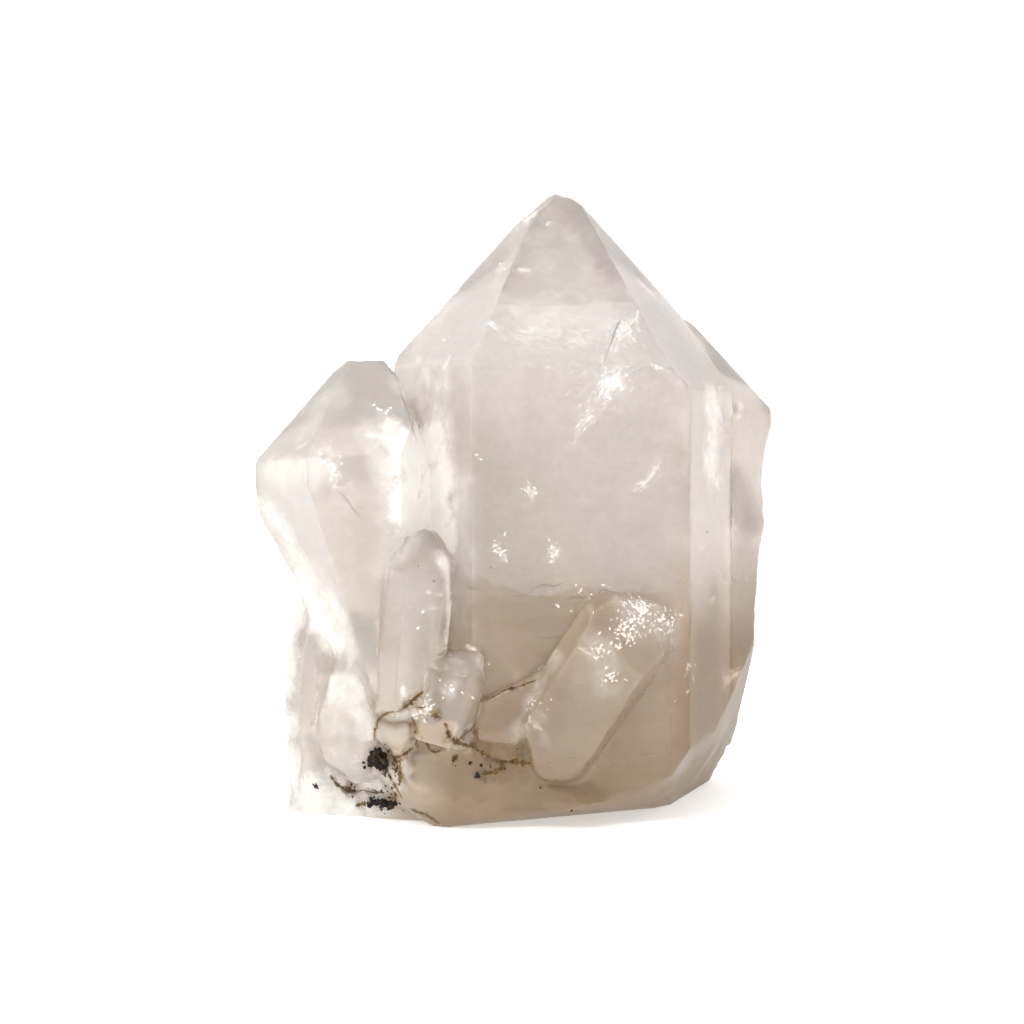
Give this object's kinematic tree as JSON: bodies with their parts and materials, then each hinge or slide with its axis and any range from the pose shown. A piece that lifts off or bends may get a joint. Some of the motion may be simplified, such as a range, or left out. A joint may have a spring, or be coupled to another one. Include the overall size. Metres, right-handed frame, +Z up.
{
  "type": "quartz crystal cluster",
  "caption": "Cluster of clear six-sided quartz points grown together round one large point, on a broken root cut flat to stand on.",
  "frame": {"origin": "under the middle of the bounding box, on the flat face that the cluster rests on", "axes": "+Z up along the large point, -Y towards the front with the small points, +X to the right seen from the front"},
  "size_m": [0.0808, 0.0642, 0.0954],
  "materials": {
    "quartz": "clear and glossy on the crystal faces, milky and stained in the root",
    "dark_oxide": "rough, crumbly, nearly black"
  },
  "bodies": {
    "root": {"quartz_cluster": "quartz", "oxide_patch": "dark_oxide", "oxide_rim_patch": "dark_oxide"}
  },
  "joints": []
}
